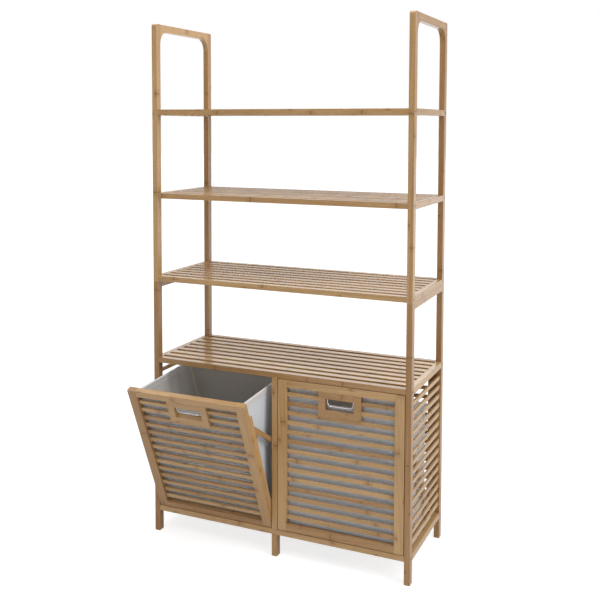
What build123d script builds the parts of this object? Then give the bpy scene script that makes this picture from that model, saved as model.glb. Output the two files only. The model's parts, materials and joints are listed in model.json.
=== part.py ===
from build123d import *
import math
import os

# Bamboo laundry cabinet: two tilt-out bag bins below, an open tower of three shelves above.
# Millimetres. X runs along the width, Y from front to back, Z up. Everything is worked out with
# the front plane of the posts at y = 0, and moved to the origin of the part when it is written.

# Overall frame
WIDTH = 826.0
DEPTH = 330.0
HEIGHT = 1570.0
POST_X = 17.0
POST_Y = 22.0
EDGE_RADIUS = 0.8
CUT_OVERSHOOT = 1.0

# Levels, as heights of top faces, and the seam between the lower and the upper posts
SHELF_1_TOP = 1312.0
SHELF_2_TOP = 1057.5
SHELF_3_TOP = 803.0
CABINET_TOP = 549.0
BASE_TOP = 81.0
SIDE_RAIL_HEIGHT = 18.0
LONG_RAIL_HEIGHT = 16.0
LONG_RAIL_DEPTH = 20.0
LONG_RAIL_SETBACK = 1.0
SEAM = SHELF_3_TOP - SIDE_RAIL_HEIGHT

# Arch that closes each side frame at the top
ARCH_RAIL_HEIGHT = 22.0
ARCH_INNER_RADIUS = 35.0
ARCH_OUTER_RADIUS = 7.0

# Shelf slats
SHELF_SLAT_WIDTH = 22.0
SHELF_SLAT_THICKNESS = 8.0
SHELF_SLAT_COUNT = 7

# Slats of the doors, the sides and the back
SLAT_HEIGHT = 12.0
SLAT_THICKNESS = 6.0
SLAT_PITCH = 28.0
SIDE_SLAT_SETBACK = 3.5
SMALLEST_END_GAP = 12.0

# Back panels
BACK_PANEL_THICKNESS = 12.0
BACK_STILE_WIDTH = 26.0

# Fasteners
BOLT_HEAD_RADIUS = 3.6
BOLT_HEAD_DEPTH = 2.6
BOLT_SINK = 3.0
BOLT_SHANK_RADIUS = 2.0
BOLT_LENGTH = 40.0
HOLE_CLEARANCE = 0.05
SEAM_DOWEL_RADIUS = 3.0
SEAM_DOWEL_LENGTH = 26.0
SEAM_DOWEL_FROM_POST = 60.0
CAP_RADIUS = 3.0
CAP_DEPTH = 6.0
CAP_POSITIONS = (-342.0, -60.0, 0.0, 60.0, 342.0)

# Doors
DOOR_THICKNESS = 17.5
DOOR_SIDE_GAP = 2.0
DOOR_HEAD_GAP = 1.5
STILE_WIDTH = 28.0
DOOR_TOP_RAIL = 21.0
DOOR_BOTTOM_RAIL = 20.5

# Tilt of a bin about its two pins
TILT_DEGREES = 23.0
HINGE_FROM_FRONT = 6.0
HINGE_ABOVE_HEEL = 8.5
HEEL_STOP_GAP = 0.3
PIN_RADIUS = 2.0
PIN_IN_POST = 7.0
PIN_IN_STILE = 12.0

# Hand hole in each door
GRIP_BLOCK_WIDTH = 21.5
GRIP_HOLE_WIDTH = 86.0
GRIP_UPPER_BAR = 19.0
GRIP_HOLE_HEIGHT = 33.0
WIRE_RADIUS = 2.0
WIRE_HALF_SPAN = 39.5
WIRE_DROP = 22.0
WIRE_BEND = 13.0
WIRE_IN_BAR = 9.0

# Side brackets and floor of a bin, behind its door
BRACKET_WIDTH = 12.0
BATTEN_DEPTH = 12.5
BATTEN_TOP_BELOW_DOOR_TOP = 53.0
BRACE_WIDTH = 12.6
BRACE_SLOPE_DEGREES = 54.0
BRACE_TOP_BELOW_DOOR_TOP = 91.0
GUSSET_DROP = 24.0
GUSSET_REACH = 14.0
FLOOR_RAIL_HEIGHT = 14.0
FLOOR_BEHIND_GAP = 34.0
FLOOR_SLAT_WIDTH = 14.0
FLOOR_SLAT_COUNT = 3

# Bag and the steel hoop in its hem
BAG_WALL = 2.0
BAG_INSET = 20.0
BAG_BEHIND_GAP = 26.0
BAG_GAP = 0.8
BAG_SLOT_MARGIN = 2.0
RIM_BELOW_DOOR_TOP = 11.0
RIM_SLOPE_DEGREES = 19.8
HOOP_RADIUS = 2.5
HOOP_BELOW_RIM = 3.5
HOOP_BEND = 14.0
HOOP_IN_STILE = 9.5
SOFT_GAP = 0.3

# Worked out from the sizes above
INNER_X = WIDTH / 2 - POST_X
BACK_POST_Y = DEPTH - POST_Y
BASE_RAIL_BOTTOM = BASE_TOP - LONG_RAIL_HEIGHT
TOP_RAIL_BOTTOM = CABINET_TOP - LONG_RAIL_HEIGHT
DOOR_WIDTH = INNER_X - POST_X / 2 - 2 * DOOR_SIDE_GAP
DOOR_CENTRE = (INNER_X + POST_X / 2) / 2
TILT = math.radians(TILT_DEGREES)
HEEL_DROP = HINGE_FROM_FRONT * math.sin(TILT) - HINGE_ABOVE_HEEL * (1 - math.cos(TILT))
DOOR_BOTTOM = BASE_TOP + HEEL_STOP_GAP + HEEL_DROP
DOOR_TOP = TOP_RAIL_BOTTOM - DOOR_HEAD_GAP
HINGE_Z = DOOR_BOTTOM + HINGE_ABOVE_HEEL
DOOR_REACH = HINGE_FROM_FRONT * (math.cos(TILT) - 1) + (DOOR_TOP - HINGE_Z) * math.sin(TILT)
CENTRE_Y = (DEPTH - DOOR_REACH) / 2
PANEL_LOW = DOOR_BOTTOM + DOOR_BOTTOM_RAIL
PANEL_HIGH = DOOR_TOP - DOOR_TOP_RAIL
HAND_HOLE_HIGH = PANEL_HIGH - GRIP_UPPER_BAR
HAND_HOLE_LOW = HAND_HOLE_HIGH - GRIP_HOLE_HEIGHT
RIM_SLOPE = math.tan(math.radians(RIM_SLOPE_DEGREES))
BAG_HALF_WIDTH = DOOR_WIDTH / 2 - BAG_INSET
BAG_FRONT = DOOR_THICKNESS + BAG_GAP
BAG_BACK = DEPTH - BACK_PANEL_THICKNESS - BAG_BEHIND_GAP
FLOOR_DEPTH = DEPTH - BACK_PANEL_THICKNESS - FLOOR_BEHIND_GAP
FLOOR_TOP = DOOR_BOTTOM + FLOOR_RAIL_HEIGHT
SIDES = {"left": -1, "right": 1}


def bar(x, y, z, radius=EDGE_RADIUS):
    """A straight bar between the (low, high) pairs x, y and z, with its four long edges eased."""
    spans = [x[1] - x[0], y[1] - y[0], z[1] - z[0]]
    middle = Vector((x[0] + x[1]) / 2, (y[0] + y[1]) / 2, (z[0] + z[1]) / 2)
    length = max(spans)
    if spans[0] == length:
        plane, across, up = Plane.YZ, spans[1], spans[2]
    elif spans[1] == length:
        plane, across, up = Plane.ZX, spans[2], spans[0]
    else:
        plane, across, up = Plane.XY, spans[0], spans[1]
    profile = Plane(middle, x_dir=plane.x_dir, z_dir=plane.z_dir) * RectangleRounded(across, up, radius)
    return extrude(profile, amount=length / 2, both=True)


def rod(start, end, radius):
    """A round rod from one point to another."""
    start, end = Vector(*start), Vector(*end)
    return extrude(Plane(start, z_dir=end - start) * Circle(radius), amount=(end - start).length)


def slab(points, x):
    """A flat piece whose outline lies in the YZ plane, between the (low, high) pair x."""
    outline = Plane((x[0], 0, 0), x_dir=(0, 1, 0), z_dir=(1, 0, 0)) * Polygon(*points, align=None)
    return extrude(outline, amount=x[1] - x[0])


def slat_tops(low, high):
    """Top heights of the slats in an opening: the first one is one gap below the upper rail."""
    first = high - (SLAT_PITCH - SLAT_HEIGHT)
    count = int((first - SLAT_HEIGHT - low - SMALLEST_END_GAP) // SLAT_PITCH) + 1
    return [first - SLAT_PITCH * i for i in range(count)]


def centred_slat_tops(low, high):
    """Top heights of the same slats with equal gaps above the first and below the last."""
    tops = slat_tops(low, high)
    margin = (high - low - (tops[0] - tops[-1]) - SLAT_HEIGHT) / 2
    return [top - tops[0] + high - margin for top in tops]


# Cabinet and tower

def bolt_points():
    """Every cross bolt: side, y and z of its axis."""
    levels = [SHELF_1_TOP, SHELF_2_TOP, SHELF_3_TOP, CABINET_TOP, BASE_TOP]
    front = LONG_RAIL_SETBACK + LONG_RAIL_DEPTH / 2
    return [(side, y, top - LONG_RAIL_HEIGHT / 2)
            for side in (-1, 1) for y in (front, DEPTH - front) for top in levels]


def bolt(side, y, z, grow=0.0):
    """One cross bolt, sunk in the outer face of a post; grow turns it into its own hole."""
    face = side * WIDTH / 2
    head_end = BOLT_SINK - BOLT_HEAD_DEPTH if grow == 0 else 0
    head = rod((face - side * head_end, y, z), (face - side * BOLT_SINK, y, z), BOLT_HEAD_RADIUS + grow)
    shank = rod((face - side * BOLT_SINK, y, z), (face - side * (BOLT_LENGTH + grow), y, z),
                BOLT_SHANK_RADIUS + grow)
    return head + shank


def bored(piece, y_span, z_span, side=None):
    """The piece with the holes of the cross bolts that pass through its range of y and z."""
    for bolt_side, y, z in bolt_points():
        on_side = side is None or side == bolt_side
        if on_side and y_span[0] < y < y_span[1] and z_span[0] < z < z_span[1]:
            piece -= bolt(bolt_side, y, z, HOLE_CLEARANCE)
    return piece


def post_spans(side, back):
    """The x and y spans of a corner post."""
    x = (INNER_X, WIDTH / 2) if side > 0 else (-WIDTH / 2, -INNER_X)
    y = (BACK_POST_Y, DEPTH) if back else (0, POST_Y)
    return x, y


def lower_post(side, back):
    x, y = post_spans(side, back)
    z = (0, SEAM)
    post = bored(bar(x, y, z), y, z, side)
    return post if back else post - hinge_pin(side * INNER_X, side, HOLE_CLEARANCE)


def upper_post(side, back):
    x, y = post_spans(side, back)
    z = (SEAM, HEIGHT)
    side_outline = Plane.YZ * Pos(DEPTH / 2, 0) * RectangleRounded(DEPTH, 2 * HEIGHT, ARCH_OUTER_RADIUS)
    post = bar(x, y, z) & extrude(side_outline, amount=WIDTH, both=True)
    return bored(post, y, z, side)


def centre_post(back):
    y = (BACK_POST_Y, DEPTH) if back else (0, POST_Y)
    post = bar((-POST_X / 2, POST_X / 2), y, (BASE_TOP, TOP_RAIL_BOTTOM))
    if back:
        return post
    for side in (-1, 1):
        post -= hinge_pin(side * POST_X / 2, -side, HOLE_CLEARANCE)
    return post


def centre_legs():
    x, z = (-POST_X / 2, POST_X / 2), (0, BASE_RAIL_BOTTOM)
    return [bar(x, (0, POST_Y), z), bar(x, (BACK_POST_Y, DEPTH), z)]


def top_arch(side):
    """The rail between the two upper posts, with a round haunch under each end."""
    x, _ = post_spans(side, False)
    under = HEIGHT - ARCH_RAIL_HEIGHT
    foot = under - ARCH_INNER_RADIUS
    block = bar(x, (POST_Y, BACK_POST_Y), (foot, HEIGHT))
    reach = ARCH_INNER_RADIUS
    middle_x = (x[0] + x[1]) / 2
    space = Pos(middle_x, DEPTH / 2, foot) * Box(2 * POST_X, BACK_POST_Y - POST_Y - 2 * reach, 2 * reach)
    block -= space
    for y in (POST_Y + reach, BACK_POST_Y - reach):
        block -= rod((x[0] - CUT_OVERSHOOT, y, foot), (x[1] + CUT_OVERSHOOT, y, foot), reach)
    return block


def side_rail(side, top):
    x, _ = post_spans(side, False)
    return bar(x, (POST_Y, BACK_POST_Y), (top - SIDE_RAIL_HEIGHT, top))


def seam_dowels(grow=0.0):
    """Dowels that join the two stacked side rails at the seam of the posts."""
    half = SEAM_DOWEL_LENGTH / 2 + grow
    ys = (POST_Y + SEAM_DOWEL_FROM_POST, BACK_POST_Y - SEAM_DOWEL_FROM_POST)
    xs = [side * (WIDTH - POST_X) / 2 for side in (-1, 1)]
    return [rod((x, y, SEAM - half), (x, y, SEAM + half), SEAM_DOWEL_RADIUS + grow) for x in xs for y in ys]


def seam_rail(side, top):
    rail = side_rail(side, top)
    for hole in seam_dowels(HOLE_CLEARANCE):
        rail -= hole
    return rail


def long_rail_spans():
    front = (LONG_RAIL_SETBACK, LONG_RAIL_SETBACK + LONG_RAIL_DEPTH)
    return front, (DEPTH - front[1], DEPTH - front[0])


def long_rails(top):
    """The front and the back rail of one level."""
    z = (top - LONG_RAIL_HEIGHT, top)
    return [bored(bar((-INNER_X, INNER_X), y, z), y, z) for y in long_rail_spans()]


def rail_caps(grow=0.0):
    """Small round plugs along the top of the cabinet's back rail."""
    y = DEPTH - LONG_RAIL_SETBACK - LONG_RAIL_DEPTH / 2
    low = CABINET_TOP - CAP_DEPTH - grow
    return [rod((x, y, low), (x, y, CABINET_TOP), CAP_RADIUS + grow) for x in CAP_POSITIONS]


def cabinet_top_rails():
    front, back = long_rails(CABINET_TOP)
    for hole in rail_caps(HOLE_CLEARANCE):
        back -= hole
    return [front, back]


def shelf_slats(top):
    front, back = long_rail_spans()
    clear = back[0] - front[1]
    gap = (clear - SHELF_SLAT_COUNT * SHELF_SLAT_WIDTH) / (SHELF_SLAT_COUNT + 1)
    slats = []
    for i in range(SHELF_SLAT_COUNT):
        low = front[1] + gap + i * (SHELF_SLAT_WIDTH + gap)
        slats.append(bar((-INNER_X, INNER_X), (low, low + SHELF_SLAT_WIDTH), (top - SHELF_SLAT_THICKNESS, top)))
    return slats


def side_slats(side):
    outer = WIDTH / 2 - SIDE_SLAT_SETBACK
    x = sorted((side * outer, side * (outer - SLAT_THICKNESS)))
    return [bar(x, (POST_Y, BACK_POST_Y), (top - SLAT_HEIGHT, top))
            for top in centred_slat_tops(BASE_TOP, CABINET_TOP - SIDE_RAIL_HEIGHT)]


def back_panel(side):
    """A slatted frame that fills the back between a corner post and the centre post."""
    x = sorted((side * POST_X / 2, side * INNER_X))
    y = (DEPTH - BACK_PANEL_THICKNESS, DEPTH)
    inner = (x[0] + BACK_STILE_WIDTH, x[1] - BACK_STILE_WIDTH)
    pieces = [bar((x[0], inner[0]), y, (BASE_TOP, TOP_RAIL_BOTTOM)),
              bar((inner[1], x[1]), y, (BASE_TOP, TOP_RAIL_BOTTOM)),
              bar(inner, y, (BASE_TOP, PANEL_LOW)),
              bar(inner, y, (PANEL_HIGH, TOP_RAIL_BOTTOM))]
    middle = (y[0] + y[1]) / 2
    slat_y = (middle - SLAT_THICKNESS / 2, middle + SLAT_THICKNESS / 2)
    pieces += [bar(inner, slat_y, (top - SLAT_HEIGHT, top)) for top in slat_tops(PANEL_LOW, PANEL_HIGH)]
    return pieces


def hinge_pin(x, side, grow=0.0):
    """A pin across the gap between a post face at x and the door beside it; side points into the post."""
    start = x + side * (PIN_IN_POST + grow)
    end = x - side * (DOOR_SIDE_GAP + PIN_IN_STILE + grow)
    return rod((start, HINGE_FROM_FRONT, HINGE_Z), (end, HINGE_FROM_FRONT, HINGE_Z), PIN_RADIUS + grow)


def hinge_pins(grow=0.0):
    pins = [hinge_pin(side * INNER_X, side, grow) for side in (-1, 1)]
    return pins + [hinge_pin(side * POST_X / 2, -side, grow) for side in (-1, 1)]


# One bin, shut, with x measured from the middle of its door

def door_stiles():
    stiles = []
    for side in (-1, 1):
        x = sorted((side * DOOR_WIDTH / 2, side * (DOOR_WIDTH / 2 - STILE_WIDTH)))
        stile = bar(x, (0, DOOR_THICKNESS), (DOOR_BOTTOM, DOOR_TOP))
        for pin in hinge_pins(HOLE_CLEARANCE):
            stile -= Pos(-DOOR_CENTRE, 0, 0) * pin
        stile -= hoop_end(side, HOLE_CLEARANCE)
        stiles.append(stile)
    return stiles


def door_rails():
    half = DOOR_WIDTH / 2 - STILE_WIDTH
    return [bar((-half, half), (0, DOOR_THICKNESS), (DOOR_BOTTOM, PANEL_LOW)),
            bar((-half, half), (0, DOOR_THICKNESS), (PANEL_HIGH, DOOR_TOP))]


def grip_foot():
    """Underside of the hand hole's frame: the top of the first slat below the hole."""
    return max(top for top in slat_tops(PANEL_LOW, PANEL_HIGH) if top < HAND_HOLE_LOW - 2 * EDGE_RADIUS)


def door_slats():
    """Full slats below the hand hole, and short ones on each side of its frame."""
    half = DOOR_WIDTH / 2 - STILE_WIDTH
    grip_half = GRIP_HOLE_WIDTH / 2 + GRIP_BLOCK_WIDTH
    y = ((DOOR_THICKNESS - SLAT_THICKNESS) / 2, (DOOR_THICKNESS + SLAT_THICKNESS) / 2)
    slats = []
    for top in slat_tops(PANEL_LOW, PANEL_HIGH):
        z = (top - SLAT_HEIGHT, top)
        if top > grip_foot():
            slats += [bar((-half, -grip_half), y, z), bar((grip_half, half), y, z)]
        else:
            slats.append(bar((-half, half), y, z))
    return slats


def grip_frame():
    """Two blocks and two bars around the hand hole."""
    y = (0, DOOR_THICKNESS)
    low, high = grip_foot(), PANEL_HIGH
    half = GRIP_HOLE_WIDTH / 2
    blocks = [bar(x, y, (low, high)) for x in ((-half - GRIP_BLOCK_WIDTH, -half), (half, half + GRIP_BLOCK_WIDTH))]
    upper = bar((-half, half), y, (HAND_HOLE_HIGH, high))
    hole_end = HAND_HOLE_HIGH + WIRE_IN_BAR + HOLE_CLEARANCE
    for side in (-1, 1):
        x = side * WIRE_HALF_SPAN
        upper -= rod((x, DOOR_THICKNESS / 2, HAND_HOLE_HIGH - CUT_OVERSHOOT), (x, DOOR_THICKNESS / 2, hole_end),
                     WIRE_RADIUS + HOLE_CLEARANCE)
    lower = bar((-half, half), y, (low, HAND_HOLE_LOW))
    return blocks + [upper, lower]


def grip_wire():
    """The bent wire that hangs across the hand hole from its upper bar."""
    y = DOOR_THICKNESS / 2
    high, low = HAND_HOLE_HIGH + WIRE_IN_BAR, HAND_HOLE_HIGH - WIRE_DROP
    corners = [(-WIRE_HALF_SPAN, y, high), (-WIRE_HALF_SPAN, y, low), (WIRE_HALF_SPAN, y, low),
               (WIRE_HALF_SPAN, y, high)]
    path = FilletPolyline(*corners, radius=WIRE_BEND)
    return sweep(Plane(corners[0], z_dir=(0, 0, -1)) * Circle(WIRE_RADIUS), path=path)


def brackets():
    """On each side of a bin: an upright batten, a floor rail, a sloping brace and its gusset."""
    back = DOOR_THICKNESS + BATTEN_DEPTH
    slope = math.tan(math.radians(BRACE_SLOPE_DEGREES))
    depth = BRACE_WIDTH / math.cos(math.radians(BRACE_SLOPE_DEGREES))
    upper = DOOR_TOP - BRACE_TOP_BELOW_DOOR_TOP
    lower = upper - depth
    brace = [(back, upper), (back, lower), (back + (lower - FLOOR_TOP) / slope, FLOOR_TOP),
             (back + (upper - FLOOR_TOP) / slope, FLOOR_TOP)]
    gusset = [(back, lower), (back, lower - GUSSET_DROP), (back + GUSSET_REACH, lower - GUSSET_REACH * slope)]
    pieces = []
    for side in (-1, 1):
        x = sorted((side * DOOR_WIDTH / 2, side * (DOOR_WIDTH / 2 - BRACKET_WIDTH)))
        pieces += [bar(x, (DOOR_THICKNESS, back), (DOOR_BOTTOM, DOOR_TOP - BATTEN_TOP_BELOW_DOOR_TOP)),
                   bar(x, (back, FLOOR_DEPTH), (DOOR_BOTTOM, FLOOR_TOP)), slab(brace, x), slab(gusset, x)]
    return pieces


def bin_floor():
    """Cross slats between the floor rails of the two brackets."""
    half = DOOR_WIDTH / 2 - BRACKET_WIDTH
    first = DOOR_THICKNESS + BATTEN_DEPTH + FLOOR_SLAT_WIDTH
    last = FLOOR_DEPTH - FLOOR_SLAT_WIDTH
    step = (last - first) / (FLOOR_SLAT_COUNT - 1)
    return [bar((-half, half), (first + i * step, first + i * step + FLOOR_SLAT_WIDTH),
                (DOOR_BOTTOM, FLOOR_TOP)) for i in range(FLOOR_SLAT_COUNT)]


def rim_height(y):
    """Height of the bag's rim at depth y."""
    return DOOR_TOP - RIM_BELOW_DOOR_TOP - (y - DOOR_THICKNESS) * RIM_SLOPE


def hoop_corner(side, y):
    x = side * (BAG_HALF_WIDTH - BAG_WALL / 2)
    return (x, y, rim_height(y) - HOOP_BELOW_RIM)


def hoop_end(side, grow=0.0):
    """The straight end of the hoop that sits in a stile; grow turns it into its hole."""
    inside = hoop_corner(side, DOOR_THICKNESS - HOOP_IN_STILE - grow)
    return rod(inside, hoop_corner(side, 2 * DOOR_THICKNESS), HOOP_RADIUS + grow)


def bag_hoop():
    """A steel rod bent to a U, set in the door, that holds the bag's rim open."""
    start, back = DOOR_THICKNESS - HOOP_IN_STILE, BAG_BACK - BAG_WALL / 2
    corners = [hoop_corner(-1, start), hoop_corner(-1, back), hoop_corner(1, back), hoop_corner(1, start)]
    path = FilletPolyline(*corners, radius=HOOP_BEND)
    along = Vector(*corners[1]) - Vector(*corners[0])
    return sweep(Plane(corners[0], z_dir=along) * Circle(HOOP_RADIUS), path=path)


def hand_slot():
    """The slot in the front of the bag, behind the hand hole and above its wire."""
    half = GRIP_HOLE_WIDTH / 2 + BAG_SLOT_MARGIN
    y = (BAG_FRONT - CUT_OVERSHOOT, BAG_FRONT + BAG_WALL + CUT_OVERSHOOT)
    return bar((-half, half), y, (HAND_HOLE_HIGH - WIRE_DROP - WIRE_RADIUS, HAND_HOLE_HIGH + BAG_SLOT_MARGIN))


def bag():
    """The fabric bag: a floor and four walls that end just under the hoop."""
    floor = FLOOR_TOP + SOFT_GAP
    under_hoop = HOOP_BELOW_RIM + (HOOP_RADIUS + SOFT_GAP) / math.cos(math.radians(RIM_SLOPE_DEGREES))
    front, back = BAG_FRONT, BAG_BACK
    outside = [(front, floor), (back, floor), (back, rim_height(back) - under_hoop),
               (front, rim_height(front) - under_hoop)]
    half = BAG_HALF_WIDTH
    inner_front, inner_back = front + BAG_WALL, back - BAG_WALL
    inside = [(inner_front, floor + BAG_WALL), (inner_back, floor + BAG_WALL),
              (inner_back, rim_height(inner_back)), (inner_front, rim_height(inner_front))]
    return slab(outside, (-half, half)) - slab(inside, (-half + BAG_WALL, half - BAG_WALL)) - hand_slot()


def bin_pieces():
    return {"door_stiles": door_stiles(), "door_rails": door_rails(), "door_slats": door_slats(),
            "grip_frame": grip_frame(), "grip_wire": [grip_wire()], "bin_brackets": brackets(),
            "bin_floor": bin_floor(), "bag_hoop": [bag_hoop()], "bag": [bag()]}


def cabinet_pieces():
    pieces = {}
    for name, side in SIDES.items():
        for depth, back in (("front", False), ("rear", True)):
            pieces[f"{name}_{depth}_lower_post"] = [lower_post(side, back)]
            pieces[f"{name}_{depth}_upper_post"] = [upper_post(side, back)]
        pieces[f"{name}_top_arch"] = [top_arch(side)]
        for level, top in (("shelf_1", SHELF_1_TOP), ("shelf_2", SHELF_2_TOP), ("cabinet_top", CABINET_TOP),
                           ("base", BASE_TOP)):
            pieces[f"{name}_{level}_side_rail"] = [side_rail(side, top)]
        pieces[f"{name}_shelf_3_side_rail"] = [seam_rail(side, SHELF_3_TOP)]
        pieces[f"{name}_seam_side_rail"] = [seam_rail(side, SEAM)]
        pieces[f"{name}_side_slats"] = side_slats(side)
        pieces[f"{name}_back_panel"] = back_panel(side)
    for level, top in (("shelf_1", SHELF_1_TOP), ("shelf_2", SHELF_2_TOP), ("shelf_3", SHELF_3_TOP)):
        pieces[f"{level}_rails"] = long_rails(top)
        pieces[f"{level}_slats"] = shelf_slats(top)
    pieces["cabinet_top_rails"] = cabinet_top_rails()
    pieces["cabinet_top_slats"] = shelf_slats(CABINET_TOP)
    pieces["base_rails"] = long_rails(BASE_TOP)
    pieces["front_centre_post"] = [centre_post(False)]
    pieces["rear_centre_post"] = [centre_post(True)]
    pieces["centre_legs"] = centre_legs()
    pieces["frame_bolts"] = [bolt(*point) for point in bolt_points()]
    pieces["rail_caps"] = rail_caps()
    pieces["seam_dowels"] = seam_dowels()
    pieces["hinge_pins"] = hinge_pins()
    return pieces


def write(name, solids, place):
    """Write one named sub-part, moved to where it belongs."""
    placed = [place * solid for solid in solids]
    shape = placed[0] if len(placed) == 1 else Compound(children=placed)
    export_step(shape, f"parts/{name}.step")


def main():
    os.makedirs("parts", exist_ok=True)
    home = Pos(0, -CENTRE_Y, 0)
    for name, solids in cabinet_pieces().items():
        write(name, solids, home)
    pivot = (0, HINGE_FROM_FRONT, HINGE_Z)
    open_turn = Pos(*pivot) * Rot(TILT_DEGREES, 0, 0) * Pos(*[-value for value in pivot])
    for name, solids in bin_pieces().items():
        write(f"left_{name}", solids, home * Pos(-DOOR_CENTRE, 0, 0) * open_turn)
        write(f"right_{name}", solids, home * Pos(DOOR_CENTRE, 0, 0))


main()
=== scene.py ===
"""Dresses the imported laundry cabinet: lacquered bamboo, sewn fabric bags, chrome grips and a plain studio."""
import json
import logging
import math
from dataclasses import dataclass, field
from enum import Enum

import bmesh
import bpy
from mathutils import Matrix, Vector, noise


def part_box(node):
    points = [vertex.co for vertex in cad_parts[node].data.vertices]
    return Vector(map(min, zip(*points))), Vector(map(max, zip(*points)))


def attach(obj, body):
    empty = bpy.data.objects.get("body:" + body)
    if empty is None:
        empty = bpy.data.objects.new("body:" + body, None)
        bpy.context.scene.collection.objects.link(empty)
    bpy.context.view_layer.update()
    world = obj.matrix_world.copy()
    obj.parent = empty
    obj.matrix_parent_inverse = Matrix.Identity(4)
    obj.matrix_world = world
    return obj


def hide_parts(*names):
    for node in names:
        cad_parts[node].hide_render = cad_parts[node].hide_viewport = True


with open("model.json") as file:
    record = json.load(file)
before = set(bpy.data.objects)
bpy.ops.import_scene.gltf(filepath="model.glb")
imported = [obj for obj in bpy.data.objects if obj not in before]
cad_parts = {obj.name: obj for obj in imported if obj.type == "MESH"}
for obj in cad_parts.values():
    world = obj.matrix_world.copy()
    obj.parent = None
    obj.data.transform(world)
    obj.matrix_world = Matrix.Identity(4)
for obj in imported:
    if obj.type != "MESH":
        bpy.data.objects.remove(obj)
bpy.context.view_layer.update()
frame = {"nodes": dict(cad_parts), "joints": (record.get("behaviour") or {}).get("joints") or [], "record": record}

LOG = logging.getLogger("laundry_cabinet")
MM = 0.001
Point = tuple[float, float, float]
Colour = tuple[float, float, float]
Span = tuple[float, float]
Socket = bpy.types.NodeSocket
Piece = bpy.types.Object
Mesh = bpy.types.Mesh
Work = bmesh.types.BMesh
Flat = dict[bmesh.types.BMVert, tuple[float, float]]


class Slot(Enum):
    """The record's material slots."""

    BAMBOO = "bamboo"
    FABRIC = "bag_fabric"
    CHROME = "grip_wire"
    ROD = "steel_rod"
    FASTENER = "dark_fastener"


# Shader tools

class NodeSketch:
    """A node tree with short calls for adding and wiring nodes."""

    def __init__(self, tree: bpy.types.NodeTree) -> None:
        """Start on a tree.

        Args:
            tree: The material's or the group's node tree.
        """
        self.tree = tree

    def add(self, kind: str, inputs: dict | None = None, **settings: object) -> bpy.types.Node:
        """Add one node.

        Args:
            kind: The node's type.
            inputs: Socket name or number to a value, or to an output socket to be wired.
            settings: Properties of the node itself.

        Returns:
            The node.
        """
        node = self.tree.nodes.new(kind)
        for name, value in settings.items():
            setattr(node, name, value)
        self.fill(node, inputs or {})
        return node

    def fill(self, node: bpy.types.Node, inputs: dict) -> None:
        """Feed several of a node's inputs, by name or number."""
        for key, value in inputs.items():
            self.feed(node.inputs[key], value)

    def feed(self, socket: Socket, value: object) -> None:
        """Wire an output into a socket, or set the socket's own value.

        Args:
            socket: The input socket.
            value: An output socket or a plain value.
        """
        if isinstance(value, Socket):
            self.tree.links.new(value, socket)
        else:
            socket.default_value = value

    def math(self, operation: str, *values: object, clamp: bool = False) -> Socket:
        """Return the result of a Math node."""
        node = self.add("ShaderNodeMath", dict(enumerate(values)), operation=operation, use_clamp=clamp)
        return node.outputs[0]

    def times(self, *values: object) -> Socket:
        """Return the product of two values."""
        return self.math("MULTIPLY", *values)

    def plus(self, *values: object, clamp: bool = False) -> Socket:
        """Return the sum of two values."""
        return self.math("ADD", *values, clamp=clamp)

    def ramp(self, value: object, low: float, high: float, to_low: float = 0.0, to_high: float = 1.0,
             smooth: bool = False) -> Socket:
        """Return a value mapped from one range to another, clamped."""
        node = self.add("ShaderNodeMapRange", {0: value, 1: low, 2: high, 3: to_low, 4: to_high},
                        interpolation_type="SMOOTHSTEP" if smooth else "LINEAR")
        return node.outputs[0]

    def mix(self, factor: object, first: object, second: object, blend: str = "MIX") -> Socket:
        """Mix two colours.

        Args:
            factor: Share of the second colour.
            first: The first colour, as a socket or a plain colour.
            second: The second colour.
            blend: The kind of blend.

        Returns:
            The mixed colour's socket.
        """
        node = self.add("ShaderNodeMix", data_type="RGBA", blend_type=blend, clamp_factor=True)
        for socket, value in ((node.inputs[0], factor), (node.inputs[6], first), (node.inputs[7], second)):
            self.feed(socket, (*value, 1.0) if isinstance(value, tuple) and len(value) == 3 else value)
        return node.outputs[2]

    def noise(self, vector: object, scale: float, detail: float = 2.0, roughness: float = 0.5) -> Socket:
        """Return a noise value."""
        node = self.add("ShaderNodeTexNoise", {"Vector": vector, "Scale": scale, "Detail": detail,
                                               "Roughness": roughness})
        return node.outputs[0]

    def stretched(self, vector: object, along: float, across: float) -> Socket:
        """Return the vector scaled by one factor along X and another across it."""
        node = self.add("ShaderNodeVectorMath", {0: vector, 1: (along, across, across)}, operation="MULTIPLY")
        return node.outputs[0]


def new_group(name: str, inputs: dict[str, tuple[str, object]],
              outputs: dict[str, str]) -> tuple[NodeSketch, dict]:
    """Make a shader node group with named sockets.

    Args:
        name: The group's name.
        inputs: Socket name to its type and default value.
        outputs: Socket name to its type.

    Returns:
        The sketch of its tree, and its input and output nodes as {"in": node, "out": node}.
    """
    tree = bpy.data.node_groups.new(name, "ShaderNodeTree")
    for socket, (kind, default) in inputs.items():
        made = tree.interface.new_socket(socket, in_out="INPUT", socket_type=kind)
        if default is not None:
            made.default_value = default
    for socket, kind in outputs.items():
        tree.interface.new_socket(socket, in_out="OUTPUT", socket_type=kind)
    sketch = NodeSketch(tree)
    ends = {"in": sketch.add("NodeGroupInput"), "out": sketch.add("NodeGroupOutput")}
    return sketch, ends


def new_material(name: str) -> tuple[bpy.types.Material, NodeSketch, bpy.types.Node]:
    """Make a material.

    Args:
        name: The material's name.

    Returns:
        The material, the sketch of its tree and its Principled BSDF.
    """
    material = bpy.data.materials.new(name)
    material.use_nodes = True
    return material, NodeSketch(material.node_tree), material.node_tree.nodes["Principled BSDF"]


# Finishes

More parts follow.
